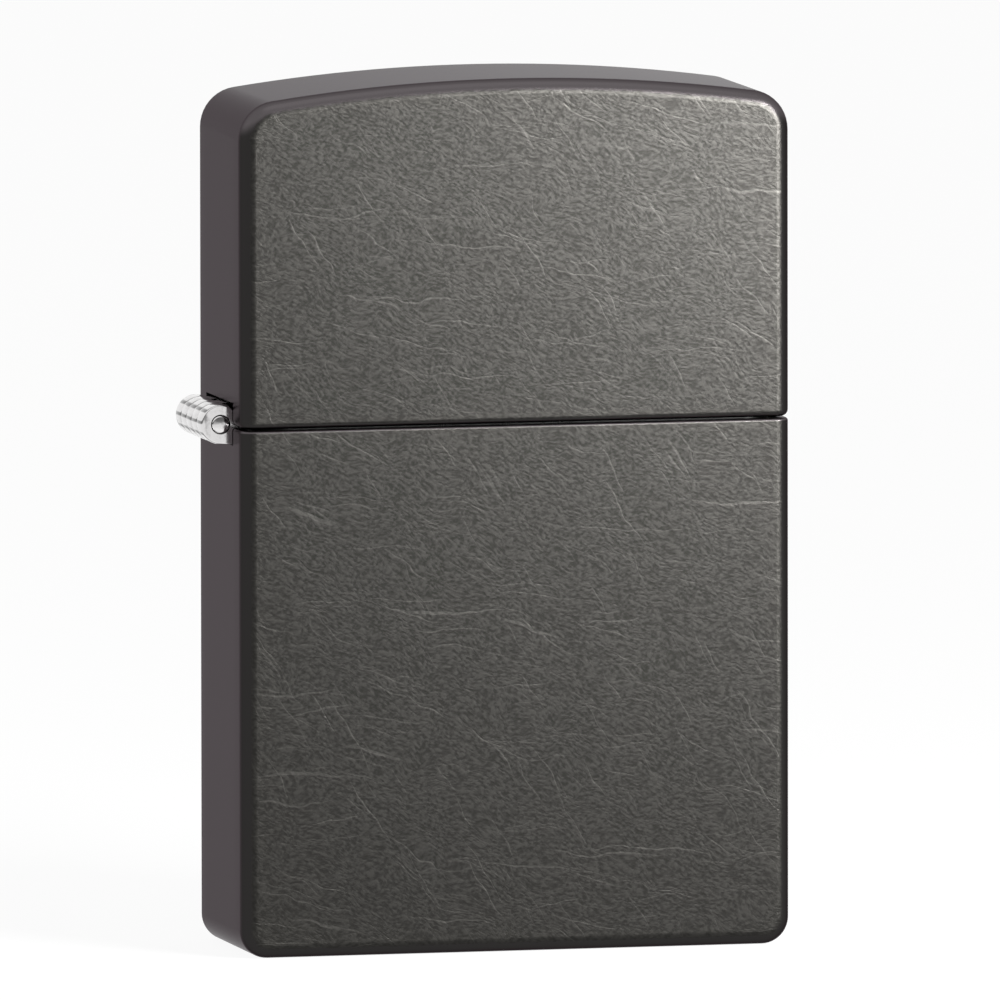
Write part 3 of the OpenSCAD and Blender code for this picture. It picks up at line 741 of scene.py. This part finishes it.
class LIGHTER_OT_stage(bpy.types.Operator):
    """Set the camera, the soft lights, the white surroundings and the floor"""
    bl_idname = "lighter.stage"
    bl_label = "Stage"

    def execute(self, context):
        self.camera(context)
        self.lamp("key_softbox", (0.098, -0.150, 0.082), (0.012, -0.006, 0.050), (0.085, 0.085), 1.5)
        self.lamp("top_softbox", (0.02, -0.06, 0.42), (0, 0, 0.05), (0.30, 0.22), 0.08)
        self.lamp("side_softbox", (-0.45, 0.02, 0.12), (-0.018, 0, 0.03), (0.35, 0.5), 0.04)
        self.surroundings(context)
        self.floor(context)
        return {"FINISHED"}

    def camera(self, context):
        yaw, pitch, roll = (math.radians(a) for a in (13.71, 5.78, -0.08))
        target = Vector((0, 0, 0.0286))
        distance, side, rise = 2.356, 0.38 * MM, 0.42 * MM
        ahead = Vector((math.sin(yaw) * math.cos(pitch), math.cos(yaw) * math.cos(pitch), -math.sin(pitch)))
        right = Vector((math.cos(yaw), -math.sin(yaw), 0))
        up = right.cross(ahead)
        tilt = Matrix.Rotation(roll, 3, -ahead)
        right, up = tilt @ right, tilt @ up
        data = bpy.data.cameras.new("camera")
        data.sensor_width = 36
        data.lens = 1298.8
        data.clip_start, data.clip_end = 0.1, 20
        camera = bpy.data.objects.new("camera", data)
        camera.matrix_world = Matrix.Translation(target - distance * ahead + side * right + rise * up) @ (
            Matrix((right, up, -ahead)).transposed().to_4x4()
        )
        context.scene.collection.objects.link(camera)
        context.scene.camera = camera

    def lamp(self, name, place, target, size, watts):
        data = bpy.data.lights.new(name, "AREA")
        data.shape = "RECTANGLE"
        data.size, data.size_y = size
        data.energy = watts
        lamp = bpy.data.objects.new(name, data)
        lamp.location = place
        lamp.rotation_mode = "QUATERNION"
        lamp.rotation_quaternion = (Vector(target) - Vector(place)).to_track_quat("-Z", "Y")
        lamp.visible_camera = False
        bpy.context.scene.collection.objects.link(lamp)

    def surroundings(self, context):
        world = bpy.data.worlds.new("studio")
        world.use_nodes = True
        tree = world.node_tree
        tree.nodes.clear()
        add = tree.nodes.new
        out = add("ShaderNodeOutputWorld")
        place = add("ShaderNodeTexCoord")
        split = add("ShaderNodeSeparateXYZ")
        tree.links.new(place.outputs["Generated"], split.inputs[0])
        fall = add("ShaderNodeMapRange")
        fall.interpolation_type = "SMOOTHSTEP"
        lean = add("ShaderNodeMath")
        lean.operation = "MULTIPLY_ADD"
        tree.links.new(split.outputs["X"], lean.inputs[0])
        lean.inputs[1].default_value = 0.45
        tree.links.new(split.outputs["Z"], lean.inputs[2])
        tree.links.new(lean.outputs[0], fall.inputs["Value"])
        for key, number in (("From Min", -0.1), ("From Max", 0.9), ("To Min", 0.10), ("To Max", 0.85)):
            fall.inputs[key].default_value = number
        studio = add("ShaderNodeBackground")
        tree.links.new(fall.outputs[0], studio.inputs["Strength"])
        white = add("ShaderNodeBackground")
        white.inputs["Strength"].default_value = 1.0
        white.inputs["Color"].default_value = (1, 1, 1, 1)
        seen = add("ShaderNodeLightPath")
        mixed = add("ShaderNodeMixShader")
        bright = seen.outputs["Is Camera Ray"]
        for ray in ("Is Glossy Ray", "Is Transmission Ray"):
            either = add("ShaderNodeMath")
            either.operation = "MAXIMUM"
            tree.links.new(bright, either.inputs[0])
            tree.links.new(seen.outputs[ray], either.inputs[1])
            bright = either.outputs[0]
        tree.links.new(bright, mixed.inputs[0])
        tree.links.new(studio.outputs[0], mixed.inputs[1])
        tree.links.new(white.outputs[0], mixed.inputs[2])
        tree.links.new(mixed.outputs[0], out.inputs["Surface"])
        context.scene.world = world

    def floor(self, context):
        bm = bmesh.new()
        bmesh.ops.create_grid(bm, x_segments=1, y_segments=1, size=4)
        bmesh.ops.translate(bm, verts=bm.verts[:], vec=(0, 0, -0.02 * MM))
        mesh = bpy.data.meshes.new("floor")
        bm.to_mesh(mesh)
        bm.free()
        f = Finish("floor_white")
        speck = f.noise(f.place, 40, 2.0)
        f.set(Base_Color=f.mix(speck, (0.86, 0.86, 0.86), (0.9, 0.9, 0.9)), Roughness=0.9)
        glow = f.node("ShaderNodeEmission")
        glow.inputs["Strength"].default_value = 1.0
        seen = f.node("ShaderNodeLightPath")
        bright = f.math("MAXIMUM", seen.outputs["Is Camera Ray"], seen.outputs["Is Glossy Ray"])
        share = f.math("MULTIPLY", f.math("MAXIMUM", bright, seen.outputs["Is Transmission Ray"]), 0.93)
        mixed = f.node("ShaderNodeMixShader")
        f.wire(share, mixed.inputs[0])
        f.wire(f.shader.outputs[0], mixed.inputs[1])
        f.wire(glow.outputs[0], mixed.inputs[2])
        f.wire(mixed.outputs[0], f.tree.nodes["Material Output"].inputs["Surface"])
        mesh.materials.append(f.material)
        floor = bpy.data.objects.new("floor", mesh)
        context.scene.collection.objects.link(floor)


# ---- panel and registration -----------------------------------------------------------------

OPERATORS = (
    LIGHTER_OT_stage,
    LIGHTER_OT_body_shell,
    LIGHTER_OT_lid_shell,
    LIGHTER_OT_hinge,
    LIGHTER_OT_spark_wheel,
    LIGHTER_OT_rivets,
    LIGHTER_OT_wick,
    LIGHTER_OT_packing,
    LIGHTER_OT_metal_finishes,
)


class LIGHTER_PT_build(bpy.types.Panel):
    """Lists the lighter's pieces, sizes and colours"""
    bl_idname = "LIGHTER_PT_build"
    bl_label = "Flip-top Lighter"
    bl_space_type = "VIEW_3D"
    bl_region_type = "UI"
    bl_category = "Lighter"

    def draw(self, context):
        for group in (context.scene.lighter_sizes, context.scene.lighter_colours):
            box = self.layout.box()
            for key in group.bl_rna.properties.keys():
                if key not in ("rna_type", "name"):
                    box.prop(group, key)
        for operator in OPERATORS:
            self.layout.operator(operator.bl_idname)


CLASSES = (LighterSizes, LighterColours, *OPERATORS, LIGHTER_PT_build)


def register():
    for cls in CLASSES:
        bpy.utils.register_class(cls)
    bpy.types.Scene.lighter_sizes = PointerProperty(type=LighterSizes)
    bpy.types.Scene.lighter_colours = PointerProperty(type=LighterColours)


def unregister():
    del bpy.types.Scene.lighter_colours
    del bpy.types.Scene.lighter_sizes
    for cls in reversed(CLASSES):
        bpy.utils.unregister_class(cls)


def main():
    register()
    bpy.context.scene.view_settings.view_transform = "Standard"
    for operator in OPERATORS:
        group, name = operator.bl_idname.split(".")
        getattr(getattr(bpy.ops, group), name)()


if __name__ == "__main__":
    main()
